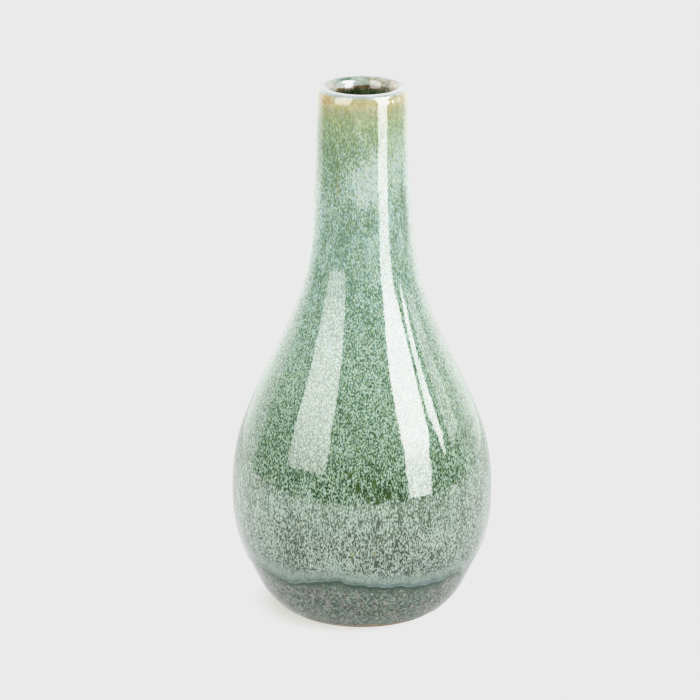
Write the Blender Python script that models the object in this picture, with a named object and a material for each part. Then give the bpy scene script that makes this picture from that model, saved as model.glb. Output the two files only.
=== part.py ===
"""A stoneware bud vase in metres, +Z up, standing on the origin: one turned clay body and the glaze coats on it.

Every piece is a solid of revolution about Z. All of them follow one line, the glazed skin of the vase, which runs
up the outside, over the lip and down the inside to the middle of the floor. A coat is what lies between two depths
under that skin, and the clay is what lies under the coats.
"""

import math

import bmesh
import bpy
import numpy as np
from mathutils import Vector
from mathutils.geometry import interpolate_bezier

MM = 0.001

# Driving dimensions, in millimetres
HEIGHT = 165.0
WALL_AT_LIP = 4.8
WALL_AT_BELLY = 5.2
WALL_THINS_FROM, WALL_THINS_TO = 40.0, 120.0
FLOOR_HEIGHT = 8.0
WALL_REACH = 9.0  # how far the inner wall's line carries on down before it turns into the floor
FLOOR_REACH = 14.0  # how far out from its middle the floor stays level before it turns up
LIP_CREST = 2.2  # how far the lip's highest ring lies inside the outer skin
LIP_FALL_OUTSIDE = 3.4  # the height the lip rolls over in, outside its crest
LIP_FALL_INSIDE = 5.0  # and inside it

# The outer skin: (height, radius) at the foot, flank, belly, shoulder and neck, joined by a smooth spline
OUTLINE = (
    (0.0, 25.4),
    (5.0, 30.05),
    (12.0, 34.2),
    (22.0, 38.3),
    (37.0, 40.15),
    (54.0, 38.25),
    (74.0, 30.35),
    (90.0, 23.05),
    (105.0, 17.85),
    (118.0, 15.65),
    (140.0, 14.35),
    (163.0, 13.7),
)

# Glaze coats
OVER_COAT = 0.6
BASE_COAT = 0.5
CLEARANCE = 0.3
MOUTH_DIP = 9.0  # how far down inside the mouth the over glaze reaches
GLAZE_FOOT = 1.3  # height of bare clay left under the base glaze
LAP_START = 12.0  # from here up the base glaze lies deep enough for the over glaze to lap it
LAP_TOP = 47.0  # top of the base glaze, hidden under the over glaze
LAP_FADE = 14.0  # length over which the clay swells from its lapped depth to its neck depth
RUN_LINE = 18.0  # mean height of the edge where the over glaze stopped running
RUN_BLEND = 34.0  # above this height the over glaze no longer follows that edge
RUN_WAVES = ((4, 1.4, 157.0), (5, 0.8, 47.0), (8, 0.7, 176.0), (10, 0.5, -64.0))  # (waves, height, phase)
DRIP_AZIMUTH = 62.0  # degrees round from the front, where one drip hangs below the edge
DRIP_WIDTH = 7.0
DRIP_LENGTH = 4.5

# Foot
FOOT_RADIUS = 24.9
FOOT_CHAMFER = 0.5
FOOT_INNER_RADIUS = 19.4
RECESS_RADIUS = 18.4
RECESS_DEPTH = 3.0
RECESS_COAT = 0.5
RECESS_COAT_INSET = 0.2  # how far inside the recess radius its coat ends

SEGMENTS = 40
SHARP_ANGLE = 40.0  # degrees; edges turning more than this are shaded as corners
LIP_STEPS = 6
OUTER_HEIGHTS = (0.0, GLAZE_FOOT, 6.0, LAP_START, RUN_LINE, 21.5, 26.0, 33.0, 40.0, LAP_TOP, 54.0,
                 LAP_TOP + LAP_FADE, 69.0, 77.0, 85.0, 93.0, 101.0, 110.0, 120.0, 135.0, HEIGHT - MOUTH_DIP)
INNER_HEIGHTS = (HEIGHT - MOUTH_DIP, 140.0, 122.0, 110.0, 100.0, 90.0, 80.0, 70.0, 60.0, 50.0, 40.0, 30.0, 20.0)
FLOOR_STEPS = 6


def clear_scene():
    for obj in list(bpy.data.objects):
        bpy.data.objects.remove(obj)


def material(name, colour, roughness):
    made = bpy.data.materials.new(name)
    made.use_nodes = True
    shader = made.node_tree.nodes["Principled BSDF"]
    shader.inputs["Base Color"].default_value = (*colour, 1.0)
    shader.inputs["Roughness"].default_value = roughness
    shader.inputs["Metallic"].default_value = 0.0
    return made


def natural_spline(knots):
    """A function of x through (x, y) knots, with continuous slope and curvature and straight ends."""
    x, y = np.array(knots).T
    gap = np.diff(x)
    slope = np.diff(y) / gap
    count = len(x)
    rows, right = np.eye(count), np.zeros(count)
    for i in range(1, count - 1):
        rows[i, i - 1 : i + 2] = gap[i - 1], 2 * (gap[i - 1] + gap[i]), gap[i]
        right[i] = 6 * (slope[i] - slope[i - 1])
    bend = np.linalg.solve(rows, right)

    def value(at):
        i = min(max(int(np.searchsorted(x, at)) - 1, 0), count - 2)
        before, after = (at - x[i]) / gap[i], (x[i + 1] - at) / gap[i]
        curve = (before**3 - before) * bend[i + 1] + (after**3 - after) * bend[i]
        return before * y[i + 1] + after * y[i] + curve * gap[i] ** 2 / 6

    return value


outer_radius = natural_spline(OUTLINE)


def smooth_step(low, high, at):
    share = min(max((at - low) / (high - low), 0.0), 1.0)
    return share * share * (3 - 2 * share)


def wall(height):
    """Thickness of the whole wall, clay and glaze, thinning from the belly to the lip."""
    thinned = smooth_step(WALL_THINS_FROM, WALL_THINS_TO, height)
    return WALL_AT_BELLY + (WALL_AT_LIP - WALL_AT_BELLY) * thinned


def inner_radius(height):
    return outer_radius(height) - wall(height)


def lip_point(turn):
    """A point on the lip, which is a quarter of one ellipse outside its crest and of a taller one inside."""
    crest = outer_radius(HEIGHT - LIP_FALL_OUTSIDE) - LIP_CREST
    wide, fall = LIP_CREST, LIP_FALL_OUTSIDE
    if turn > math.pi / 2:
        wide, fall = WALL_AT_LIP - LIP_CREST, LIP_FALL_INSIDE
    return Vector((crest + wide * math.cos(turn), HEIGHT - fall + fall * math.sin(turn)))


def skin_points():
    """The glazed skin from the foot, up the outside, over the lip and down the inside to the floor's middle."""
    outside = [Vector((outer_radius(h), h)) for h in OUTER_HEIGHTS]
    over_lip = [lip_point(math.pi * step / LIP_STEPS) for step in range(LIP_STEPS + 1)]
    inside = [Vector((inner_radius(h), h)) for h in INNER_HEIGHTS]
    low = inside[-1]
    wall_end = low + (low - inside[-2]).normalized() * WALL_REACH
    floor_middle = Vector((0.0, FLOOR_HEIGHT))
    floor_end = Vector((FLOOR_REACH, FLOOR_HEIGHT))
    floor = interpolate_bezier(low, wall_end, floor_end, floor_middle, FLOOR_STEPS)
    return outside + over_lip + inside + [Vector(point[:2]) for point in floor[1:]]


SKIN = skin_points()
FIRST_INSIDE = len(OUTER_HEIGHTS) + LIP_STEPS + 1  # the first skin point on the straight inner wall
LAST = len(SKIN) - 1


def outer_index(height):
    return OUTER_HEIGHTS.index(height)


def under(index, depth):
    """The point this far under the skin, square to it."""
    before, after = SKIN[max(index - 1, 0)], SKIN[min(index + 1, LAST)]
    along = (after - before).normalized()
    if index == LAST:
        along = Vector((-1.0, 0.0))
    return SKIN[index] + depth * Vector((-along.y, along.x))


def is_outside(index):
    return index < len(OUTER_HEIGHTS)


def base_top(index):
    """Depth of the base glaze's own face: at the skin by the foot, and under the over glaze higher up."""
    return (OVER_COAT + CLEARANCE) * smooth_step(GLAZE_FOOT, LAP_START, SKIN[index].y)


def clay_depth(index):
    """Depth of the clay: under one coat at the neck and inside, and under two where the coats lap."""
    one_coat = OVER_COAT + CLEARANCE
    if not is_outside(index):
        return one_coat
    lapped = base_top(index) + BASE_COAT + CLEARANCE
    return lapped + (one_coat - lapped) * smooth_step(LAP_TOP, LAP_TOP + LAP_FADE, SKIN[index].y)


def over_bottom(index):
    """Depth of the over glaze's inner face: it fills what the base glaze leaves above the lap."""
    if is_outside(index) and SKIN[index].y > LAP_TOP:
        return clay_depth(index) - CLEARANCE
    return OVER_COAT


def run_height(azimuth):
    """How far the over glaze's lower edge stands above its mean height, at an angle in degrees from the front."""
    waves = sum(tall * math.sin(math.radians(count * azimuth + phase)) for count, tall, phase in RUN_WAVES)
    return waves - DRIP_LENGTH * math.exp(-(((azimuth - DRIP_AZIMUTH) / DRIP_WIDTH) ** 2))


def follow_run_line(mesh):
    """Slides the lower end of the over glaze along the outline, so that its edge waves as a glaze run does."""
    for vert in mesh.verts:
        radius, height = math.hypot(vert.co.x, vert.co.y), vert.co.z
        azimuth = math.degrees(math.atan2(vert.co.x, -vert.co.y))
        shift = run_height(azimuth) * (1 - smooth_step(RUN_LINE, RUN_BLEND, height))
        if shift == 0.0:
            continue
        scale = (radius + outer_radius(height + shift) - outer_radius(height)) / radius
        vert.co = Vector((vert.co.x * scale, vert.co.y * scale, height + shift))


def turned(name, section, finish, reshape=None):
    """Spins a section round Z into a closed solid. A section is a loop, or ends on the axis at both its ends."""
    mesh = bmesh.new()
    verts = [mesh.verts.new((max(point.x, 0.0), 0.0, point.y)) for point in section]
    edges = [mesh.edges.new(pair) for pair in zip(verts, verts[1:])]
    if section[0].x > CLEARANCE:
        edges.append(mesh.edges.new((verts[-1], verts[0])))
    bmesh.ops.spin(mesh, geom=verts + edges, axis=(0, 0, 1), angle=math.tau, steps=SEGMENTS, use_merge=True)
    bmesh.ops.remove_doubles(mesh, verts=mesh.verts, dist=MM)
    if reshape:
        reshape(mesh)
    bmesh.ops.scale(mesh, vec=(MM, MM, MM), verts=mesh.verts)
    bmesh.ops.recalc_face_normals(mesh, faces=mesh.faces)
    data = bpy.data.meshes.new(name)
    mesh.to_mesh(data)
    mesh.free()
    data.materials.append(finish)
    data.shade_smooth()
    data.set_sharp_from_angle(angle=math.radians(SHARP_ANGLE))
    made = bpy.data.objects.new(name, data)
    bpy.context.scene.collection.objects.link(made)
    return made


def coat(name, first, last, top, bottom, finish, reshape=None):
    """A glaze coat over part of the skin, between two depths given as functions of the skin point."""
    face = [under(i, top(i)) for i in range(first, last + 1)]
    back = [under(i, bottom(i)) for i in range(last, first - 1, -1)]
    return turned(name, face + back, finish, reshape)


def stoneware_body():
    clay = material("bare_stoneware", (0.62, 0.47, 0.34), 0.8)
    skin = [under(i, clay_depth(i)) for i in range(1, LAST + 1)]
    foot = [
        Vector((FOOT_RADIUS, FOOT_CHAMFER)),
        Vector((FOOT_RADIUS - FOOT_CHAMFER, 0.0)),
        Vector((FOOT_INNER_RADIUS, 0.0)),
        Vector((RECESS_RADIUS, RECESS_DEPTH)),
        Vector((0.0, RECESS_DEPTH)),
    ]
    return turned("stoneware_body", list(reversed(skin)) + foot, clay)


def base_glaze():
    grey_green = material("base_glaze", (0.20, 0.24, 0.20), 0.15)
    first, last = outer_index(GLAZE_FOOT), outer_index(LAP_TOP)
    return coat("base_glaze", first, last, base_top, lambda i: base_top(i) + BASE_COAT, grey_green)


def over_glaze():
    green = material("over_glaze", (0.28, 0.40, 0.30), 0.1)
    first, last = outer_index(RUN_LINE), FIRST_INSIDE
    return coat("over_glaze", first, last, lambda i: 0.0, over_bottom, green, follow_run_line)


def liner_glaze():
    """The water-tight coat inside: it starts one clearance under the over glaze's end in the mouth."""
    dark_green = material("liner_glaze", (0.12, 0.17, 0.10), 0.1)
    face = [under(i, 0.0) for i in range(FIRST_INSIDE, LAST + 1)]
    back = [under(i, OVER_COAT) for i in range(LAST, FIRST_INSIDE - 1, -1)]
    for start in (face[0], back[-1]):
        start.y -= CLEARANCE
    return turned("liner_glaze", face + back, dark_green)


def recess_glaze():
    """The glaze left in the hollow under the foot after its ring was wiped clean."""
    grey_green = bpy.data.materials["base_glaze"]
    top = RECESS_DEPTH - CLEARANCE
    bottom = top - RECESS_COAT
    edge = RECESS_RADIUS - RECESS_COAT_INSET
    section = [Vector((0.0, top)), Vector((edge - CLEARANCE, top)), Vector((edge, bottom)), Vector((0.0, bottom))]
    return turned("recess_glaze", section, grey_green)


clear_scene()
stoneware_body()
base_glaze()
over_glaze()
liner_glaze()
recess_glaze()
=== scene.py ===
"""The look of the stoneware bud vase: fine turned meshes in place of the CAD solids, and its mottled glazes.

Lengths are in millimetres until a mesh is made, and azimuths are in degrees from the front, which faces -Y.
"""

import math

import bpy
import numpy as np
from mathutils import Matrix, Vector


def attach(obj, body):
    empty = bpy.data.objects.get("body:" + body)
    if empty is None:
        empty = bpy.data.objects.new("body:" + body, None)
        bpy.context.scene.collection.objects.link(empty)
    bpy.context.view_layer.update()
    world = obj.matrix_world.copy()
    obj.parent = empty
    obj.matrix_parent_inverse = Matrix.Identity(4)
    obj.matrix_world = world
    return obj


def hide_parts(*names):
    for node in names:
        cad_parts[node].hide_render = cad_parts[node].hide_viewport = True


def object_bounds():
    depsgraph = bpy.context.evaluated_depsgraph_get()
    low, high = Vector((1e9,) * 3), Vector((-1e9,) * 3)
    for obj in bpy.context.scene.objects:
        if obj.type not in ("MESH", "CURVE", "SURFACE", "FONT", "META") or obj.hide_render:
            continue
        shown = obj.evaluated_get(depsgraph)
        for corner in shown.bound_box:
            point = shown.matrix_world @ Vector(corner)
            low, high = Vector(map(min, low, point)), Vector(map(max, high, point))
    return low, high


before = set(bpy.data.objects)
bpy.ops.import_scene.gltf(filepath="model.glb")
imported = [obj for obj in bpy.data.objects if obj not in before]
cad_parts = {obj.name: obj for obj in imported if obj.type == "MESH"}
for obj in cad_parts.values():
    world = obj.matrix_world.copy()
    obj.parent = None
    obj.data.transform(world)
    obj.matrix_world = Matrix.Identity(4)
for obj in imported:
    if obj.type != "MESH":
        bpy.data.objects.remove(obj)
CAD_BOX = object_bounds()
MM = 0.001

# The size of the vase, from the CAD's box, and the size that the numbers below were drawn for
HEIGHT = CAD_BOX[1].z / MM
BELLY = (CAD_BOX[1].x - CAD_BOX[0].x) / 2 / MM
DRAWN_HEIGHT, DRAWN_BELLY = 165.0, 40.1

# The glazed skin's turned outline, (height, radius), the same as the CAD's
OUTLINE = np.array((
    (0.0, 25.4), (5.0, 30.05), (12.0, 34.2), (22.0, 38.3), (37.0, 40.15), (54.0, 38.25),
    (74.0, 30.35), (90.0, 23.05), (105.0, 17.85), (118.0, 15.65), (140.0, 14.35), (163.0, 13.7),
)) * (HEIGHT / DRAWN_HEIGHT, BELLY / DRAWN_BELLY)

# The wall, from the glazed skin to the glazed inside, and the lip rounded over it
WALL_AT_LIP = 4.8
WALL_AT_BELLY = 5.2
WALL_THINS_FROM, WALL_THINS_TO = 40.0, 120.0
LIP_CREST = 2.2  # how far in from the skin the lip is highest
LIP_FALL_OUTSIDE = 3.4
LIP_FALL_INSIDE = 5.0

# The inside: the wall's line ends at a height, carries on for its reach and bends round to a flat floor
WALL_END = 20.0
WALL_REACH = 9.0
FLOOR_REACH = 14.0
FLOOR_HEIGHT = 8.0
AXIS_GAP = 0.4  # turned rows stop this near to the axis, and a fan of triangles closes them

# The foot: a flat bare ring, rounded at its edges, round a recess
FOOT_RADIUS = 24.9
RING_INSIDE = 19.4
RING_EDGE = 0.6
RECESS_RADIUS = 18.4
RECESS_HEIGHT = 3.0

# The glazes' limits: inside the mouth, above the foot, and the run line where the over glaze stopped
MOUTH_DIP = 9.0
GLAZE_FOOT = 1.3
RUN_LINE = 18.0
RUN_BLEND = 34.0  # above this height the over glaze no longer follows the run line
LAP_TOP = 26.0  # how far up the base glaze goes under the over glaze

# The run line's shape: (waves round the vase, height, phase), and one drip that hangs below it
RUN_WAVES = ((4, 1.4, 157.0), (5, 0.8, 47.0), (8, 0.7, 176.0), (10, 0.5, -64.0))
RUN_RIPPLES = ((23, 0.20, 20.0), (37, 0.16, 140.0), (61, 0.11, 75.0), (97, 0.08, 10.0))
DRIP_AZIMUTH, DRIP_WIDTH, DRIP_LENGTH = 62.0, 5.0, 4.5

# The coats: the over glaze is thin where it laps the base glaze and thickens above, down to the clay
OVER_THICKNESS = 0.26
OVER_GROWTH = 0.34
BASE_THICKNESS = 0.5
CLAY_DEPTH = 0.62
LAP_FADES_FROM, LAP_FADES_TO = 47.0, 61.0
EDGE_ROLL = 0.45  # how far from the run line the coat has its full thickness
MOUTH_ROLL = 0.6  # the same at its end in the mouth
BEAD, BEAD_FROM_EDGE, BEAD_WIDTH = 0.12, 1.3, 1.1  # the roll that gathered above the run line

# Segments round each turned mesh
OVER_SEGMENTS, BASE_SEGMENTS, CLAY_SEGMENTS, LINER_SEGMENTS, RECESS_SEGMENTS = 480, 256, 192, 144, 96


def natural_spline(knots):
    """A function of arrays of x through (x, y) knots, with continuous slope and curvature."""
    x, y = knots.T
    gap, count = np.diff(x), len(x)
    slope = np.diff(y) / gap
    rows, right = np.eye(count), np.zeros(count)
    for i in range(1, count - 1):
        rows[i, i - 1:i + 2] = gap[i - 1], 2 * (gap[i - 1] + gap[i]), gap[i]
        right[i] = 6 * (slope[i] - slope[i - 1])
    bend = np.linalg.solve(rows, right)

    def value(at):
        at = np.asarray(at, float)
        i = np.clip(np.searchsorted(x, at) - 1, 0, count - 2)
        before, after = (at - x[i]) / gap[i], (x[i + 1] - at) / gap[i]
        curve = (before**3 - before) * bend[i + 1] + (after**3 - after) * bend[i]
        return before * y[i + 1] + after * y[i] + curve * gap[i] ** 2 / 6

    return value


outer_radius = natural_spline(OUTLINE)


def smooth_step(low, high, at):
    share = np.clip((at - low) / (high - low), 0.0, 1.0)
    return share * share * (3 - 2 * share)


def inner_radius(height):
    wall = WALL_AT_BELLY + (WALL_AT_LIP - WALL_AT_BELLY) * smooth_step(WALL_THINS_FROM, WALL_THINS_TO, height)
    return outer_radius(height) - wall


def run_height(azimuth):
    """How far the over glaze's lower edge stands above its mean height."""
    shapes = RUN_WAVES + RUN_RIPPLES
    waves = sum(tall * np.sin(np.radians(count * azimuth + phase)) for count, tall, phase in shapes)
    return waves - DRIP_LENGTH * np.exp(-(((azimuth - DRIP_AZIMUTH) / DRIP_WIDTH) ** 2))


# ---------------------------------------------------------------- meshes


def offset(section, depth):
    """Moves each point of an open section (radius, height) to its left by depth, which is into the wall."""
    along = np.gradient(section, axis=0)
    along /= np.linalg.norm(along, axis=1)[:, None]
    return section + np.asarray(depth).reshape(-1, 1) * np.stack((-along[:, 1], along[:, 0]), axis=1)


def lip_section(steps):
    """The lip from the outside to the inside, rolled over its crest, with a longer fall inside."""
    crest = float(outer_radius(HEIGHT - LIP_FALL_OUTSIDE)) - LIP_CREST
    turns = np.linspace(0, math.pi, 2 * steps + 1)
    outside = turns <= math.pi / 2
    wide = np.where(outside, LIP_CREST, WALL_AT_LIP - LIP_CREST)
    fall = np.where(outside, LIP_FALL_OUTSIDE, LIP_FALL_INSIDE)
    return np.stack((crest + wide * np.cos(turns), HEIGHT - fall + fall * np.sin(turns)), axis=1)


def wobble(points, size, seed):
    """Smooth noise of about -1 to 1 at each point, from a few crossed waves of about this size."""
    rng = np.random.default_rng(seed)
    total = np.zeros(points.shape[:-1])
    for _ in range(9):
        heading = rng.normal(size=3)
        heading /= np.linalg.norm(heading)
        length = size * rng.uniform(0.7, 1.6)
        total += np.sin(points @ heading * (math.tau / length) + rng.uniform(0, math.tau))
    return total / 3.0


def lathe(name, node, sections, finish, closed=True, attributes=None):
    """A closed turned mesh. sections holds (radius, height) for each row and each segment round the axis.

    With closed=False the rows end near the axis at both ends, and a fan of triangles closes each end.
    """
    rows, count = sections.shape[:2]
    turn = np.linspace(0, math.tau, count, endpoint=False)
    radius, height = sections[..., 0], sections[..., 1]
    verts = np.stack((radius * np.sin(turn), -radius * np.cos(turn), height), axis=-1).reshape(-1, 3)
    ring = np.arange(count)
    following = np.roll(ring, -1)
    faces = []
    last = rows if closed else rows - 1
    for row in range(last):
        low, high = row * count, ((row + 1) % rows) * count
        faces.append(np.stack((low + ring, low + following, high + following, high + ring), axis=1))
    faces = np.concatenate(faces).tolist()
    values = dict(attributes or {})
    if not closed:
        start, end = len(verts), len(verts) + 1
        caps = [[0, 0, sections[0, :, 1].mean()], [0, 0, sections[-1, :, 1].mean()]]
        verts = np.concatenate((verts, caps))
        top = (rows - 1) * count
        faces += [[start, int(following[i]), int(i)] for i in ring]
        faces += [[end, int(top + i), int(top + following[i])] for i in ring]
        for key, value in values.items():
            values[key] = np.concatenate((value.ravel(), [value[0].mean(), value[-1].mean()]))
    data = bpy.data.meshes.new(name)
    data.from_pydata((verts * MM).tolist(), [], faces)
    for key, value in values.items():
        layer = data.attributes.new(key, "FLOAT", "POINT")
        layer.data.foreach_set("value", np.asarray(value, np.float32).ravel())
    data.materials.append(finish)
    data.shade_smooth()
    data.set_sharp_from_angle(angle=math.radians(50))
    data.validate()
    made = bpy.data.objects.new(name, data)
    bpy.context.scene.collection.objects.link(made)
    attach(made, "root")
    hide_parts(node)
    return made


def round_section(section, count):
    """The same open or closed section at every azimuth."""
    return np.repeat(section[:, None, :], count, axis=1)


def spaced(low, high, step):
    return np.linspace(low, high, max(2, round(abs(high - low) / step) + 1))


def azimuths(count):
    """The segments' azimuths, from -180 to 180."""
    azimuth = np.linspace(0, 360, count, endpoint=False)
    return np.where(azimuth > 180, azimuth - 360, azimuth)


def distance_along(line):
    """How far along an open section each of its points is."""
    return np.concatenate(([0], np.cumsum(np.linalg.norm(np.diff(line, axis=0), axis=1))))


def swelling(distance, reach):
    """0 at an edge and 1 from this reach on, along a quarter of a circle."""
    return np.sqrt(1 - (1 - np.minimum(distance / reach, 1.0)) ** 2)


def lifted(sections, shift):
    """The sections moved up by shift, each point staying as deep under the outline as it was."""
    moved = sections.copy()
    moved[..., 0] += outer_radius(sections[..., 1] + shift) - outer_radius(sections[..., 1])
    moved[..., 1] += shift
    return moved


def over_glaze_mesh(finish):
    """Close rows at the run line and round the lip, and fewer rows on the hidden back."""
    edge_rows = np.array((
        0.0, 0.03, 0.08, 0.15, 0.25, 0.38, 0.55, 0.8, 1.1, 1.5, 2.0, 2.6, 3.3, 4.1, 5.0, 6.0, 7.0, 8.0,
    ))
    lip = lip_section(12)
    heights = np.concatenate((RUN_LINE + edge_rows, spaced(RUN_LINE + 9.0, lip[0, 1] - 0.6, 2.0)))
    inside = spaced(lip[-1, 1] - 0.6, HEIGHT - MOUTH_DIP, 0.8)
    face = np.concatenate((
        np.stack((outer_radius(heights), heights), axis=1), lip,
        np.stack((inner_radius(inside), inside), axis=1),
    ))
    along = distance_along(face)
    from_end = along[-1] - along

    depth = np.full(len(face), OVER_THICKNESS)
    upper = np.arange(len(face)) > len(edge_rows)
    depth[upper] += OVER_GROWTH * smooth_step(LAP_FADES_FROM, LAP_FADES_TO, face[upper, 1])
    depth = np.minimum(depth, OVER_THICKNESS + 0.1 * from_end)
    bare = offset(face, depth)
    at_edge, at_end = swelling(along, EDGE_ROLL), swelling(from_end, MOUTH_ROLL)
    bead = BEAD * np.exp(-(((along - BEAD_FROM_EDGE) / BEAD_WIDTH) ** 2)) * at_edge
    grown = (depth - OVER_THICKNESS) * at_end * np.minimum(along / EDGE_ROLL, 1.0)
    skin = offset(face, depth - OVER_THICKNESS * at_edge - grown - bead)
    last = from_end < MOUTH_ROLL
    skin[last] = offset(face, depth * (1 - at_end))[last]

    rows = len(skin)
    kept = np.arange(0, 12, 3), np.arange(12, rows - 24, 6), np.arange(rows - 24, rows, 3)
    back = bare[np.unique(np.append(np.concatenate(kept), rows - 1))][::-1]
    sections = np.concatenate((round_section(skin, OVER_SEGMENTS), round_section(back[1:-1], OVER_SEGMENTS)))
    height = sections[..., 1]
    shift = run_height(azimuths(OVER_SEGMENTS)) * (1 - smooth_step(RUN_LINE, RUN_BLEND, height))
    sections = lifted(sections, shift)

    turn = np.linspace(0, math.tau, OVER_SEGMENTS, endpoint=False)
    radius, height = sections[..., 0], sections[..., 1]
    places = np.stack((radius * np.sin(turn), -radius * np.cos(turn), height * 0.6), axis=-1)[:rows]
    fade = np.minimum(1.0, along / 3.0)[:, None]
    sections[:rows, :, 0] += fade * (0.035 * wobble(places, 19.0, 3) + 0.012 * wobble(places, 7.0, 4))

    above_edge, inward = np.zeros((2, *sections.shape[:2]))
    above_edge[:rows] = along[:, None]
    inward[:rows] = (along - along[len(heights) + len(lip) // 2])[:, None]
    return lathe("over_glaze_coat", "over_glaze", sections[::-1], finish,
                 attributes={"above_edge": above_edge[::-1], "inward": inward[::-1]})


def base_skin_depth(height):
    """How far the base glaze's skin lies under the outline, to make room for the over glaze that laps it."""
    return (OVER_THICKNESS + 0.02) * smooth_step(4.0, 12.0, height)


def base_glaze_mesh(finish):
    edge_rows = np.array((0.0, 0.05, 0.12, 0.22, 0.35, 0.55, 0.8, 1.1))
    heights = np.concatenate((GLAZE_FOOT + edge_rows, spaced(GLAZE_FOOT + 1.6, LAP_TOP, 0.6)))
    face = np.stack((outer_radius(heights), heights), axis=1)
    at_edge = swelling(distance_along(face), 0.5)
    depth = base_skin_depth(heights)
    skin = offset(face, depth + BASE_THICKNESS * (1 - at_edge))
    back = offset(face, depth + BASE_THICKNESS)[::-4]
    sections = np.concatenate((round_section(skin, BASE_SEGMENTS), round_section(back, BASE_SEGMENTS)))

    azimuth = azimuths(BASE_SEGMENTS)
    uneven = 0.25 * np.sin(np.radians(7 * azimuth + 40)) + 0.18 * np.sin(np.radians(17 * azimuth))
    lower = 1 - smooth_step(GLAZE_FOOT, GLAZE_FOOT + 3, sections[..., 1])
    sections = lifted(sections, lower * uneven)
    below_edge = RUN_LINE + run_height(azimuth) - sections[..., 1]
    return lathe("base_glaze_coat", "base_glaze", sections[::-1], finish,
                 attributes={"below_edge": below_edge[::-1]})


def inner_line(heights, floor_rows):
    """The inside's open section: down the wall at these heights, then round to the middle of the floor."""
    wall = np.stack((inner_radius(heights), heights), axis=1)
    start, heading = wall[-1], (wall[-1] - wall[-2]) / np.linalg.norm(wall[-1] - wall[-2])
    pull = start + WALL_REACH * heading
    level, end = np.array((FLOOR_REACH, FLOOR_HEIGHT)), np.array((AXIS_GAP, FLOOR_HEIGHT))
    t = np.linspace(0, 1, floor_rows)[1:, None]
    floor = (1 - t) ** 3 * start + 3 * t * (1 - t) ** 2 * pull + 3 * t**2 * (1 - t) * level + t**3 * end
    return np.concatenate((wall, floor))


def foot_section():
    """The bare foot from its heel to the middle of its recess, with fine turning ridges on the ring."""
    quarter = np.linspace(0, math.pi / 2, 5)
    along, down = RING_EDGE * np.cos(quarter), RING_EDGE * np.sin(quarter)
    heel = np.stack((FOOT_RADIUS - RING_EDGE + along, RING_EDGE - down), axis=1)
    radii = spaced(FOOT_RADIUS - RING_EDGE - 0.3, RING_INSIDE + RING_EDGE + 0.3, 0.35)
    ridges = 0.03 * (1 + np.sin(radii * 9.0)) * (np.abs(radii - 21.7) < 1.7)
    toe = np.stack((RING_INSIDE + RING_EDGE - down, RING_EDGE - along), axis=1)
    hollow = np.array((
        (RING_INSIDE - 0.3, 1.4), (RECESS_RADIUS + 0.4, 2.4), (RECESS_RADIUS, 2.8),
        (RECESS_RADIUS - 0.5, RECESS_HEIGHT), (9.0, RECESS_HEIGHT), (AXIS_GAP, RECESS_HEIGHT),
    ))
    return np.concatenate((heel, np.stack((radii, ridges), axis=1), toe, hollow))


def clay_mesh(finish):
    """The clay under its coats, and bare at the foot."""
    outside = np.concatenate((spaced(0.9, 4.0, 0.4), spaced(5.0, HEIGHT - LIP_FALL_OUTSIDE - 1, 3.0)))
    face = np.stack((outer_radius(outside), outside), axis=1)
    lip = lip_section(6)
    line = np.concatenate((face, lip, inner_line(spaced(lip[-1, 1] - 1, WALL_END, 3.5), 14)))
    heights = line[:, 1]
    first = np.arange(len(line)) < len(face)
    lapped = base_skin_depth(heights) + BASE_THICKNESS + 0.03
    unlapped = smooth_step(LAP_FADES_FROM, LAP_FADES_TO, heights)
    depth = np.where(first, lapped + (CLAY_DEPTH - lapped) * unlapped, CLAY_DEPTH)
    depth = np.where(first & (heights < 1.4), BASE_THICKNESS * 0.7, depth)
    section = np.concatenate((offset(line, depth)[::-1], foot_section()))
    sections = round_section(section, CLAY_SEGMENTS)[::-1]
    return lathe("clay_body", "stoneware_body", sections, finish, closed=False)


def liner_mesh(finish):
    """The coat inside, thinned at its top, where the over glaze laps it."""
    top = HEIGHT - MOUTH_DIP + 1.2
    line = inner_line(spaced(top, WALL_END, 1.5), 22)
    under_lap = OVER_THICKNESS * (1 - smooth_step(1.0, 3.0, top - line[:, 1]))
    face, back = offset(line, under_lap), offset(line, np.full(len(line), 0.6))
    sections = round_section(np.concatenate((face[::-1], back)), LINER_SEGMENTS)[::-1]
    return lathe("liner_glaze_coat", "liner_glaze", sections, finish, closed=False)


def recess_mesh(finish):
    """The coat under the foot, thicker towards its rim. Its finish takes it as far below the run line."""
    radii = np.array((AXIS_GAP, 3.0, 7.0, 11.0, 14.0, 16.0, 17.0, 17.5, 17.8))
    above = np.full(len(radii), RECESS_HEIGHT - 0.1)
    under = 2.35 - 0.25 * smooth_step(13.0, 17.8, radii)
    section = np.concatenate((np.stack((radii, above), axis=1), np.stack((radii, under), axis=1)[::-1]))
    sections = round_section(section, RECESS_SEGMENTS)[::-1]
    far_below = np.full(sections.shape[:2], RUN_LINE)
    return lathe("recess_glaze_coat", "recess_glaze", sections, finish, closed=False,
                 attributes={"below_edge": far_below})


# ---------------------------------------------------------------- materials


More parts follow.
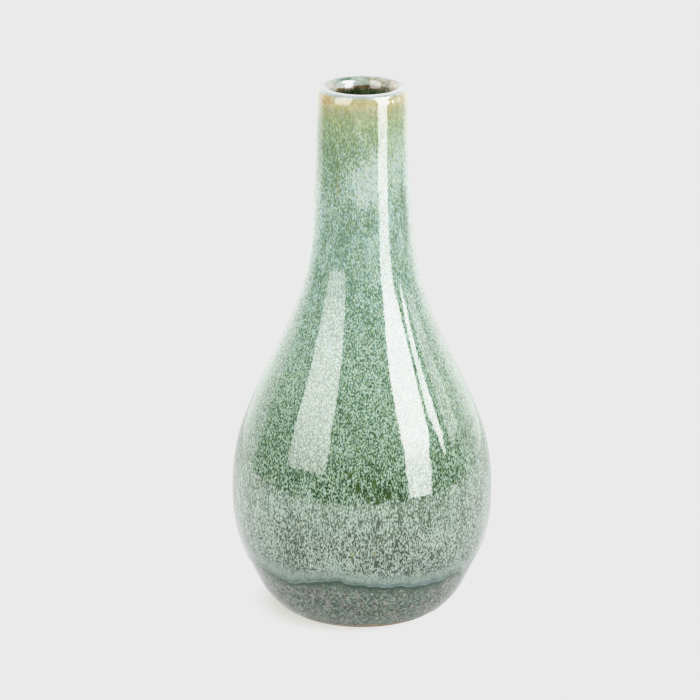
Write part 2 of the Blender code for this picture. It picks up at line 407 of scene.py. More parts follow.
class Nodes:
    """A node tree, with short calls for the arithmetic of patterns."""

    def __init__(self, tree):
        self.tree = tree

    def feed(self, socket, value):
        if isinstance(value, bpy.types.NodeSocket):
            self.tree.links.new(value, socket)
        else:
            socket.default_value = value

    def node(self, kind, settings=None, **inputs):
        made = self.tree.nodes.new(kind)
        for key, value in (settings or {}).items():
            setattr(made, key, value)
        for key, value in inputs.items():
            self.feed(made.inputs[key.replace("_", " ")], value)
        return made

    def math(self, operation, a, b=0.0):
        made = self.node("ShaderNodeMath", {"operation": operation})
        self.feed(made.inputs[0], a)
        self.feed(made.inputs[1], b)
        return made.outputs[0]

    def add(self, a, b):
        return self.math("ADD", a, b)

    def times(self, a, b):
        return self.math("MULTIPLY", a, b)

    def vector(self, operation, a, b=(0.0, 0.0, 0.0)):
        """Arithmetic of vectors; a dot product and a length give a number."""
        made = self.node("ShaderNodeVectorMath", {"operation": operation})
        self.feed(made.inputs[0], a)
        self.feed(made.inputs[1], b)
        return made.outputs["Value" if operation in ("DOT_PRODUCT", "LENGTH") else "Vector"]

    def upward(self, place):
        return self.node("ShaderNodeSeparateXYZ", None, Vector=place).outputs[2]

    def camera_axis(self, axis):
        """An axis of the camera, as a direction in the world."""
        spaces = {"vector_type": "VECTOR", "convert_from": "CAMERA", "convert_to": "WORLD"}
        return self.node("ShaderNodeVectorTransform", spaces, Vector=axis).outputs[0]

    def ray(self, kind):
        """1 for the rays of this kind, such as "Is Camera Ray", and 0 for others."""
        return self.node("ShaderNodeLightPath").outputs[kind]

    def span(self, value, low, high, smooth=True):
        """0 below low and 1 above high; low may be the larger, for a fall."""
        rising = high > low
        kind = "SMOOTHSTEP" if smooth else "LINEAR"
        made = self.node("ShaderNodeMapRange", {"interpolation_type": kind, "clamp": True}, Value=value)
        made.inputs["From Min"].default_value = low if rising else high
        made.inputs["From Max"].default_value = high if rising else low
        made.inputs["To Min"].default_value = 0.0 if rising else 1.0
        made.inputs["To Max"].default_value = 1.0 if rising else 0.0
        return made.outputs["Result"]

    def ramp(self, share, stops):
        """A colour that changes with the share, through (share, colour) stops."""
        made = self.node("ShaderNodeValToRGB", None, Fac=share)
        elements = made.color_ramp.elements
        for element, (at, colour) in zip(elements, (stops[0], stops[-1])):
            element.position, element.color = at, (*colour, 1.0)
        for at, colour in stops[1:-1]:
            elements.new(at).color = (*colour, 1.0)
        return made.outputs["Color"]

    def mix(self, share, a, b):
        """From the colour a to the colour b."""
        made = self.node("ShaderNodeMix", {"data_type": "RGBA"})
        self.feed(made.inputs[0], share)
        self.feed(made.inputs[6], a if isinstance(a, bpy.types.NodeSocket) else (*a, 1.0))
        self.feed(made.inputs[7], b if isinstance(b, bpy.types.NodeSocket) else (*b, 1.0))
        return made.outputs[2]

    def mix_numbers(self, share, a, b):
        made = self.node("ShaderNodeMix", {"data_type": "FLOAT"})
        for socket, value in zip((0, 2, 3), (share, a, b)):
            self.feed(made.inputs[socket], value)
        return made.outputs[0]

    def mix_shaders(self, share, a, b):
        made = self.node("ShaderNodeMixShader")
        for socket, value in zip(made.inputs, (share, a, b)):
            self.feed(socket, value)
        return made.outputs[0]


class Finish(Nodes):
    """A material and its nodes, with patterns placed in millimetres on the vase."""

    def __init__(self, name):
        self.material = bpy.data.materials.new(name)
        self.material.use_nodes = True
        super().__init__(self.material.node_tree)
        self.shader = self.tree.nodes["Principled BSDF"]

    def surface(self, shader):
        """Shows this shader in place of the Principled one."""
        output = next(node for node in self.tree.nodes if node.type == "OUTPUT_MATERIAL")
        self.feed(output.inputs["Surface"], shader)

    def place(self, stretch=(1.0, 1.0, 1.0)):
        """The point on the object in millimetres, with its axes scaled."""
        where = self.node("ShaderNodeTexCoord").outputs["Object"]
        return self.vector("MULTIPLY", where, [axis / MM for axis in stretch])

    def noise(self, stretch, size, detail=2.0, roughness=0.5, distortion=0.0, seed=0.0):
        """Noise of about 0 to 1 with marks of about this size in millimetres."""
        made = self.node("ShaderNodeTexNoise", {"noise_dimensions": "4D"}, Vector=self.place(stretch),
                         W=seed, Scale=1.0 / size, Detail=detail, Roughness=roughness, Distortion=distortion)
        return made.outputs["Fac"]

    def patch(self, azimuth, height, wide, tall, fade=0.35, radius=None):
        """1 at a spot on the outside and 0 beyond this many millimetres from it, to the side and up."""
        turn, radius = math.radians(azimuth), radius or float(outer_radius(height))
        spot = radius * math.sin(turn), -radius * math.cos(turn), height
        from_spot = self.vector("SUBTRACT", self.place(), spot)
        scaled = self.vector("MULTIPLY", from_spot, (1 / wide, 1 / wide, 1 / tall))
        return self.span(self.vector("LENGTH", scaled), 1.0, fade)

    def height(self):
        return self.upward(self.place())

    def attribute(self, name):
        return self.node("ShaderNodeAttribute", {"attribute_name": name}).outputs["Fac"]

    def by_height(self, height, stops):
        """A colour that changes with the height, through (height, colour) stops."""
        return self.ramp(self.times(height, 1.0 / DRAWN_HEIGHT),
                         [(at / DRAWN_HEIGHT, colour) for at, colour in stops])

    def tones(self, value, dark, middle, light):
        """Dark, middle and light colours by a value that is 0.5 in the middle; few marks reach the light."""
        lower = self.mix(self.span(value, -0.05, 0.5, smooth=False), dark, middle)
        return self.mix(self.span(value, 0.5, 1.2, smooth=False), lower, light)

    def tinted(self, colour, share, at_none, at_all):
        """A colour multiplied by a tint that goes from one to another."""
        made = self.node("ShaderNodeMix", {"data_type": "RGBA", "blend_type": "MULTIPLY"})
        self.feed(made.inputs[0], 1.0)
        self.feed(made.inputs[6], colour)
        self.feed(made.inputs[7], self.mix(share, at_none, at_all))
        return made.outputs[2]

    def bump(self, height, depth):
        """Relief of this depth in millimetres."""
        made = self.node("ShaderNodeBump", Height=height, Strength=1.0, Distance=depth * MM)
        self.feed(self.shader.inputs["Normal"], made.outputs["Normal"])


# Colours of the over glaze from the run line up to the lip: (height, dark, middle, light)
OVER_COLOURS = (
    (20.0, (0.01, 0.02, 0.01), (0.17, 0.24, 0.19), (0.44, 0.56, 0.48)),
    (32.0, (0.01, 0.03, 0.01), (0.20, 0.28, 0.21), (0.52, 0.64, 0.54)),
    (45.0, (0.05, 0.10, 0.04), (0.215, 0.31, 0.225), (0.52, 0.69, 0.58)),
    (48.5, (0.03, 0.075, 0.025), (0.16, 0.26, 0.155), (0.50, 0.69, 0.56)),
    (62.0, (0.065, 0.125, 0.065), (0.21, 0.34, 0.22), (0.50, 0.70, 0.55)),
    (75.0, (0.085, 0.165, 0.09), (0.26, 0.41, 0.28), (0.54, 0.76, 0.61)),
    (90.0, (0.11, 0.20, 0.12), (0.285, 0.45, 0.32), (0.57, 0.80, 0.69)),
    (105.0, (0.135, 0.245, 0.155), (0.315, 0.49, 0.37), (0.60, 0.83, 0.76)),
    (120.0, (0.18, 0.30, 0.22), (0.355, 0.54, 0.42), (0.62, 0.85, 0.79)),
    (133.0, (0.175, 0.29, 0.18), (0.41, 0.60, 0.48), (0.69, 0.88, 0.82)),
    (141.0, (0.165, 0.29, 0.17), (0.38, 0.55, 0.41), (0.68, 0.86, 0.80)),
    (149.0, (0.19, 0.29, 0.165), (0.335, 0.48, 0.31), (0.58, 0.77, 0.55)),
    (156.0, (0.24, 0.34, 0.17), (0.37, 0.49, 0.28), (0.58, 0.72, 0.45)),
    (159.5, (0.34, 0.38, 0.20), (0.46, 0.52, 0.30), (0.66, 0.70, 0.46)),
    (162.0, (0.54, 0.49, 0.25), (0.68, 0.62, 0.36), (0.76, 0.72, 0.50)),
)

# Paler and darker places in the over glaze, the last a painted reflection: (azimuth, height, millimetres wide,
# tall, change of tone)
OVER_PATCHES_AND_PAINTED_SHEEN = (
    (4.0, 139.5, 6.5, 11.0, 0.36), (-34.0, 146.0, 5.0, 11.0, -0.22), (-30.0, 124.0, 4.0, 10.0, -0.18),
    (57.0, 128.0, 2.5, 16.0, -0.45), (-62.0, 128.0, 5.0, 13.0, 0.25), (9.0, 50.0, 8.0, 3.5, -0.25),
    (3.0, 43.0, 7.0, 2.5, 0.12), (32.0, 32.0, 7.0, 5.0, 0.3), (-14.0, 26.0, 12.0, 4.0, 0.3),
    # The last place is a painted reflection: paler neck just to the right of the right softbox's highlight
    (0.0, 127.0, 9.0, 7.0, -0.2), (42.0, 148.0, 5.0, 15.0, 0.3),
)

# Single marks in the over glaze: (azimuth, height, millimetres wide, tall, colour). First the belly's olive
# drips, then two rust spots with dark tails, short strokes, a tan hairline, and strokes on the neck and side
OVER_MARKS = (
    (-2.0, 51.2, 1.1, 3.2, (0.05, 0.09, 0.012)), (5.1, 52.0, 0.9, 3.4, (0.07, 0.13, 0.02)),
    (11.4, 48.6, 1.5, 2.2, (0.04, 0.08, 0.012)), (6.6, 46.9, 1.3, 1.6, (0.05, 0.10, 0.02)),
    (2.6, 47.6, 1.2, 1.8, (0.06, 0.12, 0.03)), (-5.6, 54.8, 1.2, 1.7, (0.05, 0.10, 0.012)),
    (-3.0, 45.8, 0.7, 2.0, (0.08, 0.14, 0.06)),
    (-4.4, 29.9, 0.8, 1.0, (0.34, 0.36, 0.10)), (-4.3, 28.2, 0.7, 1.6, (0.02, 0.035, 0.005)),
    (5.2, 30.2, 0.8, 0.9, (0.32, 0.35, 0.13)), (5.9, 26.9, 0.7, 1.5, (0.015, 0.02, 0.01)),
    (11.6, 25.4, 0.5, 1.5, (0.01, 0.02, 0.012)), (32.2, 27.0, 0.5, 3.0, (0.01, 0.02, 0.012)),
    (36.5, 27.4, 0.4, 1.4, (0.03, 0.05, 0.035)), (6.4, 39.5, 0.5, 2.3, (0.02, 0.05, 0.02)),
    (-26.5, 33.6, 0.7, 2.2, (0.05, 0.08, 0.03)), (-19.2, 27.4, 0.7, 0.9, (0.03, 0.05, 0.03)),
    (-27.5, 37.0, 0.6, 2.0, (0.14, 0.18, 0.08)), (30.0, 41.5, 0.7, 0.8, (0.02, 0.05, 0.015)),
    (-31.0, 137.5, 0.4, 9.0, (0.40, 0.36, 0.21)),
    (54.5, 134.0, 0.35, 6.0, (0.10, 0.19, 0.06)), (50.5, 125.0, 0.3, 9.0, (0.09, 0.18, 0.09)),
    (55.5, 116.0, 0.35, 7.0, (0.09, 0.17, 0.09)), (50.6, 50.0, 0.6, 1.1, (0.08, 0.12, 0.02)),
    (57.5, 46.4, 0.7, 0.9, (0.26, 0.24, 0.11)), (61.0, 41.0, 0.6, 1.2, (0.28, 0.26, 0.12)),
)

# The glaze on the lip and inside the mouth, with painted light in two patches: (azimuth, height, millimetres
# wide, tall, (dark, middle, light))
MOUTH_GLAZE_AND_PAINTED_LIGHT = (
    (-158.0, 164.7, 7.0, 1.1, ((0.02, 0.09, 0.045), (0.17, 0.31, 0.22), (0.45, 0.60, 0.50))),
    (-172.0, 163.7, 4.0, 1.4, ((0.25, 0.36, 0.28), (0.45, 0.58, 0.48), (0.64, 0.74, 0.66))),
    (146.0, 164.3, 6.0, 1.8, ((0.14, 0.16, 0.09), (0.55, 0.54, 0.41), (0.74, 0.72, 0.60))),
    (106.0, 163.9, 4.6, 1.8, ((0.36, 0.28, 0.17), (0.74, 0.65, 0.49), (0.82, 0.76, 0.64))),
    # Painted highlight over pale mint glaze, on the inner lip at the back left
    (-148.0, 163.3, 5.2, 1.1, ((0.52, 0.62, 0.60), (0.74, 0.82, 0.81), (0.86, 0.92, 0.91))),
    # Painted light: the left side of the inner wall made paler, as where light falls on it
    (-112.0, 163.2, 3.0, 2.0, ((0.36, 0.36, 0.28), (0.62, 0.60, 0.50), (0.76, 0.74, 0.66))),
    (112.0, 160.5, 6.0, 2.4, ((0.03, 0.06, 0.03), (0.17, 0.22, 0.12), (0.40, 0.44, 0.30))),
)
MOUTH_RADIUS = 10.0  # how far from the axis those patches are centred


def over_glaze_mottle(look, height):
    """Flecks, clots, curls and broad patches as one value, 0.5 in the middle; and the relief they make."""
    flecks = look.noise((1.0, 1.0, 0.42), 0.335, detail=0.0, distortion=0.2)
    clots = look.noise((1.0, 1.0, 0.22), 0.55, detail=1.0, distortion=0.4, seed=3.0)
    curls = look.noise((1.0, 1.0, 0.62), 0.85, detail=1.0, distortion=0.8, seed=5.0)
    patches = look.noise((1.0, 1.0, 0.5), 17.0, detail=2.0, seed=7.0)
    streaks = look.noise((1.0, 1.0, 0.3), 3.2, detail=2.0, seed=11.0)
    neck, low = look.span(height, 88.0, 122.0), look.span(height, 46.0, 34.0)
    near_lip = look.span(height, 149.0, 160.0)

    fleck_share = look.add(look.add(look.times(neck, -1.3), look.times(near_lip, -1.4)), 4.4)
    clot_share = look.add(2.2, look.add(look.times(neck, -1.5), look.times(low, -0.7)))
    broad_share = look.add(look.add(look.times(neck, 0.6), look.times(low, 0.25)), 0.6)
    broad = look.add(look.times(look.add(patches, -0.5), 1.1), look.times(look.add(streaks, -0.5), 1.3))
    value = look.add(look.times(look.add(flecks, -0.5), fleck_share), 0.5)
    value = look.add(value, look.times(look.add(clots, -0.5), clot_share))
    value = look.add(value, look.times(look.add(curls, -0.5), look.times(neck, 1.5)))
    value = look.add(value, look.times(broad, broad_share))
    for azimuth, middle, wide, tall, lift in OVER_PATCHES_AND_PAINTED_SHEEN:
        value = look.add(value, look.times(look.patch(azimuth, middle, wide, tall), lift))
    return value, look.add(flecks, look.times(clots, 0.8))


def over_glaze_outside(look, height, value):
    """The colours from the run line to the lip, run down into each other, with warmer and cooler flecks."""
    runs = look.noise((1.0, 1.0, 0.22), 2.0, detail=1.0, seed=13.0)
    runs = look.times(look.add(runs, -0.5), look.span(height, 160.0, 150.0))
    shifted = look.add(height, look.times(runs, 14.0))
    dark, middle, light = [
        look.by_height(shifted, [(stop[0], stop[tone]) for stop in OVER_COLOURS]) for tone in (1, 2, 3)
    ]
    colour = look.tones(value, dark, middle, light)
    tint = look.noise((1.0, 1.0, 0.5), 0.8, detail=1.0, seed=15.0)
    above_band = look.span(height, 44.0, 50.0)
    warm = look.mix(above_band, (1.01, 1.03, 0.95), (1.06, 1.02, 0.86))
    cool = look.mix(above_band, (0.98, 0.99, 1.04), (0.96, 1.0, 1.07))
    colour = look.tinted(colour, look.span(tint, 0.34, 0.66, smooth=False), warm, cool)
    for azimuth, middle, wide, tall, shade in OVER_MARKS:
        mark = look.patch(azimuth, middle, wide, tall, fade=0.3)
        colour = look.mix(look.times(mark, 0.85), colour, shade)
    return colour


def over_glaze_mouth(look, value, inward, colour):
    """The lip's amber and pale places over the outside's colour, a painted highlight along the front of the
    lip's inner edge, and the darker glaze inside, where two patches are painted light.
    """
    amber = look.tones(value, (0.56, 0.38, 0.16), (0.76, 0.56, 0.30), (0.82, 0.68, 0.44))
    amber_place = look.patch(-56.0, 162.8, 4.6, 2.4, fade=0.4)
    colour = look.mix(look.times(amber_place, 0.85), colour, amber)
    pale = look.tones(value, (0.40, 0.50, 0.46), (0.66, 0.76, 0.73), (0.80, 0.88, 0.86))
    colour = look.mix(look.span(inward, -2.3, -1.5), colour, pale)
    # Painted highlight: a near-white line along the inner edge of the lip, on its front only
    front = look.patch(0.0, HEIGHT, 18.0, 8.0, fade=0.8, radius=11.0)
    rim = look.times(look.span(inward, -0.95, -0.65), front)
    colour = look.mix(rim, colour, (0.93, 0.95, 0.93))

    inner = look.tones(value, (0.20, 0.27, 0.18), (0.42, 0.49, 0.38), (0.64, 0.70, 0.60))
    brown = look.tones(value, (0.04, 0.025, 0.006), (0.15, 0.095, 0.03), (0.27, 0.19, 0.08))
    deep = look.tones(value, (0.008, 0.016, 0.004), (0.04, 0.065, 0.022), (0.16, 0.21, 0.10))
    lower = look.mix(look.span(inward, 4.1, 4.8), brown, deep)
    mouth = look.mix(look.span(inward, 3.0, 3.5), inner, lower)
    for azimuth, middle, wide, tall, tones in MOUTH_GLAZE_AND_PAINTED_LIGHT:
        near = look.patch(azimuth, middle, wide, tall, fade=0.6, radius=MOUTH_RADIUS)
        mouth = look.mix(near, mouth, look.tones(value, *tones))
    return look.mix(look.span(inward, 0.1, 0.8), colour, mouth)


def over_glaze_run_line(look, value, colour):
    """The smooth band above the run line, the dark pool at the line, teal in one place, and a painted
    highlight along its edge.
    """
    edge = look.attribute("above_edge")
    drift = look.noise((1.0, 1.0, 1.0), 2.4, detail=2.0, seed=17.0)
    drift = look.times(look.add(drift, -0.5), 2.0)
    drifted = look.add(edge, drift)
    still = look.tones(value, (0.175, 0.245, 0.20), (0.265, 0.35, 0.295), (0.36, 0.45, 0.40))
    colour = look.mix(look.span(drifted, 5.6, 3.2), colour, still)
    teal_place = look.patch(24.0, RUN_LINE, 18.0, 9.0, fade=0.4)
    teal = look.mix(teal_place, (0.11, 0.19, 0.15), (0.115, 0.195, 0.21))
    pool = look.mix(look.span(drift, -0.4, 0.2), (0.06, 0.14, 0.095), teal)
    colour = look.mix(look.times(look.span(drifted, 2.6, 0.7), 0.9), colour, pool)
    # Painted highlight: a thin pale mint line along the run line's edge
    painted_edge_highlight = look.times(look.span(edge, 0.45, 0.3), look.span(drift, -0.35, 0.1))
    return look.mix(painted_edge_highlight, colour, (0.34, 0.54, 0.45))


def over_glaze_finish():
    look = Finish("over_glaze_mottled")
    height, inward = look.height(), look.attribute("inward")
    value, relief = over_glaze_mottle(look, height)
    colour = over_glaze_outside(look, height, value)
    colour = over_glaze_mouth(look, value, inward, colour)
    colour = over_glaze_run_line(look, value, colour)
    look.feed(look.shader.inputs["Base Color"], colour)
    dull = look.times(look.span(inward, 2.6, 3.2), 0.1)
    look.feed(look.shader.inputs["Roughness"], look.add(look.add(look.times(value, 0.03), 0.05), dull))
    look.shader.inputs["IOR"].default_value = 1.5
    look.bump(relief, 0.003)
    return look.material


def base_glaze_finish():
    """Grey-green flecks blushed with mauve, dark threads, a darker band under the run line, and painted light
    that makes it paler towards the foot.
    """
    look = Finish("base_glaze_speckled")
    flecks = look.noise((1.0, 1.0, 0.8), 0.5, detail=0.0, distortion=0.4, seed=21.0)
    dots = look.noise((1.0, 1.0, 1.0), 1.3, detail=2.0, seed=24.0)
    blush = look.noise((1.0, 1.0, 0.8), 2.2, detail=2.0, seed=27.0)
    value = look.add(look.times(look.add(flecks, -0.5), 3.4), 0.5)
    value = look.add(value, look.times(look.add(dots, -0.5), 2.2))
    green = look.tones(value, (0.07, 0.115, 0.08), (0.19, 0.265, 0.21), (0.31, 0.39, 0.33))
    mauve = look.tones(value, (0.10, 0.115, 0.09), (0.25, 0.26, 0.23), (0.38, 0.38, 0.345))
    colour = look.mix(look.span(blush, 0.42, 0.62), green, mauve)
    worms = look.noise((1.0, 1.0, 0.6), 1.35, detail=1.0, distortion=0.6, seed=29.0)
    thread = look.span(look.math("ABSOLUTE", look.add(worms, -0.5)), 0.06, 0.02)
    colour = look.mix(look.times(thread, 0.9), colour, (0.02, 0.05, 0.028))
    # Painted light: the base glaze made paler below 10 mm, towards the foot, for the light that reaches it
    # there
    foot = look.span(look.height(), 10.0, 6.0)
    colour = look.tinted(colour, foot, (1.0, 1.0, 1.0), (1.13, 1.10, 1.09))
    edge = look.attribute("below_edge")
    shade = look.add(edge, look.times(look.add(worms, -0.5), 6.0))
    colour = look.mix(look.times(look.span(shade, 3.6, 1.0), 0.75), colour, (0.04, 0.09, 0.05))
    line = look.add(edge, look.times(look.add(blush, -0.5), 3.0))
    colour = look.mix(look.times(look.span(line, 1.4, 0.8), 0.85), colour, (0.008, 0.05, 0.024))
    look.feed(look.shader.inputs["Base Color"], colour)
    look.shader.inputs["Roughness"].default_value = 0.12
    look.bump(flecks, 0.004)
    return look.material


def liner_finish():
    look = Finish("liner_glaze_dark")
    flecks = look.noise((1.0, 1.0, 0.6), 1.4, detail=2.0, seed=31.0)
    value = look.add(look.times(look.add(flecks, -0.5), 3.0), 0.5)
    colour = look.tones(value, (0.02, 0.03, 0.01), (0.08, 0.11, 0.05), (0.2, 0.24, 0.13))
    look.feed(look.shader.inputs["Base Color"], colour)
    look.shader.inputs["Roughness"].default_value = 0.1
    look.bump(flecks, 0.006)
    return look.material


def clay_finish():
    look = Finish("bare_clay")
    grain = look.noise((1.0, 1.0, 1.0), 0.35, detail=3.0, roughness=0.6, seed=41.0)
    stain = look.noise((1.0, 1.0, 1.0), 5.0, detail=2.0, seed=44.0)
    value = look.add(look.times(look.add(grain, -0.5), 2.2), look.times(stain, 1.0))
    colour = look.tones(value, (0.34, 0.21, 0.13), (0.56, 0.40, 0.27), (0.72, 0.58, 0.44))
    look.feed(look.shader.inputs["Base Color"], colour)
    look.shader.inputs["Roughness"].default_value = 0.85
    look.bump(grain, 0.03)
    return look.material


# ---------------------------------------------------------------- stage, light and camera


# How bright the table and the backdrop are to the camera; and the table in the glaze, all round, and less on
# the camera's side
BACKDROP = 1.148
TABLE_GLOW = 2.9
TABLE_SHADE = 1.5
TABLE_RADIUS = 0.34
FLOOR_RADIUS = 8.0
TABLE_DROP = 0.0002  # the table's top lies this far under the foot

# The faint warm shadow on the table, to the left of the foot as the camera sees it
SHADOW_SHIFT = 0.005
SHADOW_CORE, SHADOW_REACH = 0.0199, 0.0304
SHADOW_COLOUR = (0.67, 0.68, 0.59)


def flat_ring(name, radius, inner=0.0):
    """A level disc on the table's level, or a ring when it has an inner radius."""
    count = 96
    turn = np.linspace(0, math.tau, count, endpoint=False)
    circle = np.stack((np.cos(turn), np.sin(turn), np.zeros(count)), axis=1)
    if inner:
        verts = np.concatenate((circle * inner, circle * radius))
        faces = [[count + i, count + (i + 1) % count, (i + 1) % count, i] for i in range(count)]
    else:
        verts, faces = circle * radius, [list(range(count))]
    data = bpy.data.meshes.new(name)
    data.from_pydata((verts - (0, 0, TABLE_DROP)).tolist(), [], faces)
    made = bpy.data.objects.new(name, data)
    bpy.context.scene.collection.objects.link(made)
    return made


def build_stage():
    """The pale table: flat to the camera, with a soft shadow, and glowing in the glaze that mirrors it."""
    pale = Finish("pale_table")
    pale.shader.inputs["Base Color"].default_value = (0.82, 0.82, 0.815, 1.0)
    pale.shader.inputs["Roughness"].default_value = 1.0
    pale.shader.inputs["Specular IOR Level"].default_value = 0.0

    spot = pale.node("ShaderNodeNewGeometry").outputs["Position"]
    aside = pale.vector("MULTIPLY", pale.camera_axis((1.0, 0.0, 0.0)), (SHADOW_SHIFT,) * 3)
    from_shadow = pale.vector("LENGTH", pale.vector("ADD", spot, aside))
    shadow = pale.span(from_shadow, SHADOW_REACH, SHADOW_CORE)
    shown = pale.mix(shadow, (1.0, 1.0, 1.0), SHADOW_COLOUR)
    flat = pale.node("ShaderNodeEmission", Color=shown, Strength=BACKDROP).outputs[0]

    near = pale.vector("DOT_PRODUCT", pale.vector("NORMALIZE", spot), pale.camera_axis((0.0, 0.0, 1.0)))
    elsewhere = pale.times(pale.span(near, 0.85, 0.35), TABLE_GLOW - TABLE_SHADE)
    away = pale.vector("LENGTH", spot)
    # Painted shade: the table's glow in the glaze fades close to the vase, in place of the shade round its
    # foot
    painted_shade_near_vase = pale.math("DIVIDE", pale.add(away, -0.012), pale.add(away, 0.023))
    glow = pale.times(painted_shade_near_vase, pale.add(elsewhere, TABLE_SHADE))
    bright = pale.node("ShaderNodeEmission", Strength=glow).outputs[0]
    seen = pale.mix_shaders(pale.ray("Is Camera Ray"), pale.shader.outputs[0], flat)
    pale.surface(pale.mix_shaders(pale.ray("Is Glossy Ray"), seen, bright))
    table, floor = flat_ring("table_top", TABLE_RADIUS), flat_ring("floor", FLOOR_RADIUS, TABLE_RADIUS)
    for stage in (table, floor):
        stage.data.materials.append(pale.material)
    floor.visible_glossy = False


# The light that falls on the vase: a dome, brighter on the camera's right
DOME = 1.12
SIDE_LIGHT = 0.28

# What the glaze mirrors besides the softboxes and the table: a ceiling, a light high behind the camera, and
# walls of (azimuth from the camera's side, brightness). FROM and FULL say where a light fades in
CEILING = 0.8
CEILING_FROM, CEILING_FULL = 0.6, 0.8
REAR_LIGHT = 1.36
REAR_FROM, REAR_FULL = 0.12, 0.26
WALL_PEAK = 3.2
WALLS = (
    (-180, 1.2), (-163, 1.84), (-150, 2.72), (-140, 2.8), (-125, 2.4), (-116, 1.84), (-110, 0.24),
    (0, 0.04), (98, 0.08), (108, 0.96), (120, 1.6), (127, 2.1), (134, 2.95), (146, 2.85), (156, 2.15),
    (166, 1.52), (180, 1.2),
)


def build_world():
    """One level of white to the camera, the dome's light on the vase, and the room that the glaze mirrors."""
    world = bpy.data.worlds.new("studio")
    bpy.context.scene.world = world
    world.use_nodes = True
    world.node_tree.nodes.clear()
    room = Nodes(world.node_tree)

    def level_axis(axis):
        return room.vector("NORMALIZE", room.vector("MULTIPLY", room.camera_axis(axis), (1.0, 1.0, 0.0)))

    heading = room.node("ShaderNodeTexCoord").outputs["Generated"]
    right = room.vector("DOT_PRODUCT", heading, level_axis((1.0, 0.0, 0.0)))
    front = room.vector("DOT_PRODUCT", heading, level_axis((0.0, 0.0, -1.0)))
    up = room.vector("DOT_PRODUCT", heading, (0.0, 0.0, 1.0))
    turn = room.add(room.times(room.math("ARCTAN2", right, front), 1 / math.tau), 0.5)
    walls = room.ramp(turn, [(azimuth / 360 + 0.5, (level / WALL_PEAK,) * 3) for azimuth, level in WALLS])
    overhead = room.times(room.span(up, CEILING_FROM, CEILING_FULL), CEILING)
    behind = room.times(up, room.times(front, -1.0))
    rear = room.times(room.span(behind, REAR_FROM, REAR_FULL), REAR_LIGHT)
    mirrored = room.math("MAXIMUM", room.times(walls, WALL_PEAK), room.math("MAXIMUM", overhead, rear))
    dome = room.add(DOME, room.times(right, DOME * SIDE_LIGHT))
    light = room.mix_numbers(room.ray("Is Glossy Ray"), dome, mirrored)
    level = room.mix_numbers(room.ray("Is Camera Ray"), light, BACKDROP)
    background = room.node("ShaderNodeBackground", Color=(1.0, 1.0, 1.0, 1.0), Strength=level)
    room.node("ShaderNodeOutputWorld", Surface=background.outputs[0])


CAMERA_PLACE = (-0.00372, -1.0344, 0.4279)
CAMERA_PITCH = 18.512  # degrees down
CAMERA_LENS = 183.1


def build_camera():
    data = bpy.data.cameras.new("camera")
    data.sensor_width = 36.0
    data.lens = CAMERA_LENS
    camera = bpy.data.objects.new("camera", data)
    camera.location = CAMERA_PLACE
    camera.rotation_euler = (math.radians(90.0 - CAMERA_PITCH), 0.0, 0.0)
    bpy.context.scene.collection.objects.link(camera)
    bpy.context.scene.camera = camera
    return camera


# The softboxes. Each outline is (metres to the right of the panel's azimuth, height), and each glow is
# (height, brightness) at a low and a high place on the panel
LEFT_PANEL = (
    (-0.143, 0.102), (-0.12, 0.096), (-0.047, 0.1), (0.014, 0.105), (0.093, 0.112), (0.155, 0.117),
    (0.178, 0.13), (0.192, 0.19), (0.193, 0.28), (0.2, 0.36), (0.2, 0.9), (-0.19, 0.9), (-0.19, 0.28),
    (-0.18, 0.23), (-0.168, 0.16), (-0.151, 0.12),
)
LEFT_GLOW = ((0.15, 6.5), (0.31, 11.6))
RIGHT_PANEL = (
    (-0.075, 0.012), (0.036, 0.012), (0.036, 0.055), (0.042, 0.075), (0.044, 0.12), (0.08, 0.16),
    (0.088, 0.2), (0.08, 0.35), (0.14, 0.37), (0.22, 0.42), (0.22, 0.6), (-0.11, 0.6), (-0.11, 0.5),
    (-0.082, 0.4), (-0.083, 0.2), (-0.078, 0.15), (-0.086, 0.1), (-0.086, 0.078), (-0.077, 0.06),
)
RIGHT_GLOW = ((0.09, 15.5), (0.17, 26.0))
EDGE_PANEL = (
    (-0.028, 0.104), (-0.020, 0.13), (-0.020, 0.16), (0.000, 0.165), (-0.008, 0.215), (-0.002, 0.24),
    (-0.012, 0.26), (-0.078, 0.264), (-0.084, 0.245), (-0.074, 0.22), (-0.060, 0.187), (-0.044, 0.132),
)
EDGE_GLOW = ((0.11, 14.0), (0.16, 20.0))
SIDE_PANEL = ((-0.09, 0.12), (0.07, 0.12), (0.07, 0.3), (-0.07, 0.3))
SIDE_GLOW = ((0.12, 4.5), (0.3, 4.5))


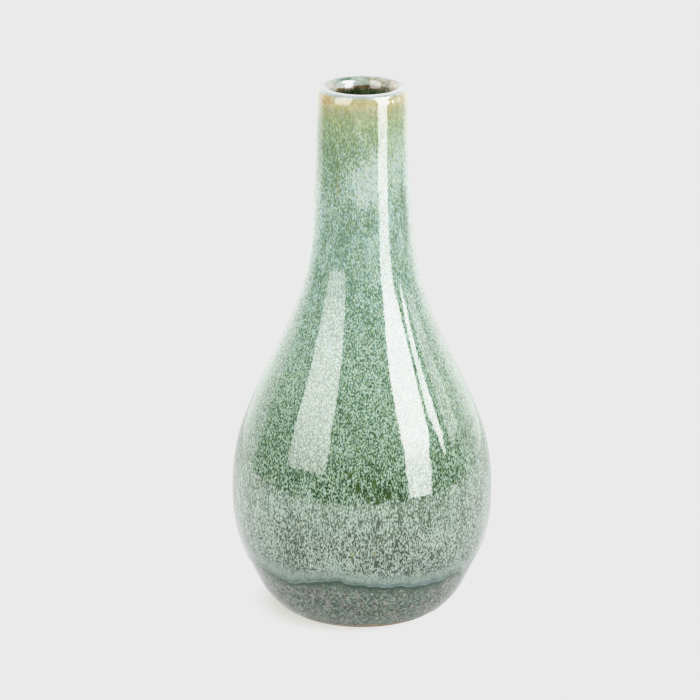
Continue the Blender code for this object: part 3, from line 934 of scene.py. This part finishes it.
def softbox(name, camera, azimuth, distance, outline, glow):
    """A panel that only the glaze mirrors, square to an azimuth counted from the camera and moving with it."""
    turn = math.radians(azimuth)
    centre = np.array((math.sin(turn), -math.cos(turn), 0.0)) * distance
    across = np.array((math.cos(turn), math.sin(turn), 0.0))
    corners = [centre + across * aside + (0, 0, height) for aside, height in outline]
    data = bpy.data.meshes.new(name)
    data.from_pydata([list(corner) for corner in corners], [], [list(range(len(corners)))])
    finish = Finish(name)
    height = finish.upward(finish.node("ShaderNodeNewGeometry").outputs["Position"])
    (low, dim), (high, bright) = glow
    level = finish.add(finish.times(finish.span(height, low, high, smooth=False), bright - dim), dim)
    finish.surface(finish.node("ShaderNodeEmission", Strength=level).outputs[0])
    data.materials.append(finish.material)
    made = bpy.data.objects.new(name, data)
    bpy.context.scene.collection.objects.link(made)
    bpy.context.view_layer.update()
    made.parent = camera
    made.matrix_parent_inverse = camera.matrix_world.inverted()
    made.visible_camera = False
    made.visible_diffuse = False
    made.visible_shadow = False
    made.visible_transmission = False
    return made


# The tones shown for linear light, up to the light that shows as white
TONE_WHITE = 4.0
TONE = (
    (0.0, 0.0), (0.35, 0.35), (0.5, 0.475), (0.68, 0.6), (0.9, 0.72), (1.19, 0.84), (1.6, 0.915), (2.2, 0.96),
    (4.0, 1.0),
)


def set_tone():
    """A soft shoulder, as a camera's: brightness is kept below a third and eased towards white above."""
    settings = bpy.context.scene.view_settings
    settings.view_transform = "Standard"
    settings.use_curve_mapping = True
    mapping = settings.curve_mapping
    mapping.white_level = (TONE_WHITE,) * 3
    curve = mapping.curves[3]
    for light, shown in TONE[2:]:
        curve.points.new(light / TONE_WHITE, shown)
    for point, (light, shown) in zip(curve.points, sorted(TONE)):
        point.location = (light / TONE_WHITE, shown)
        point.handle_type = "VECTOR"
    mapping.update()


over_glaze_mesh(over_glaze_finish())
base = base_glaze_finish()
base_glaze_mesh(base)
clay_mesh(clay_finish())
liner_mesh(liner_finish())
recess_mesh(base)

build_stage()
build_world()
camera = build_camera()
softbox("softbox_left", camera, -52.5, 0.5, LEFT_PANEL, LEFT_GLOW)
softbox("softbox_right", camera, 53.0, 0.3, RIGHT_PANEL, RIGHT_GLOW)
softbox("softbox_edge", camera, 84.0, 0.5, EDGE_PANEL, EDGE_GLOW)
softbox("softbox_side", camera, 100.0, 0.5, SIDE_PANEL, SIDE_GLOW)
set_tone()
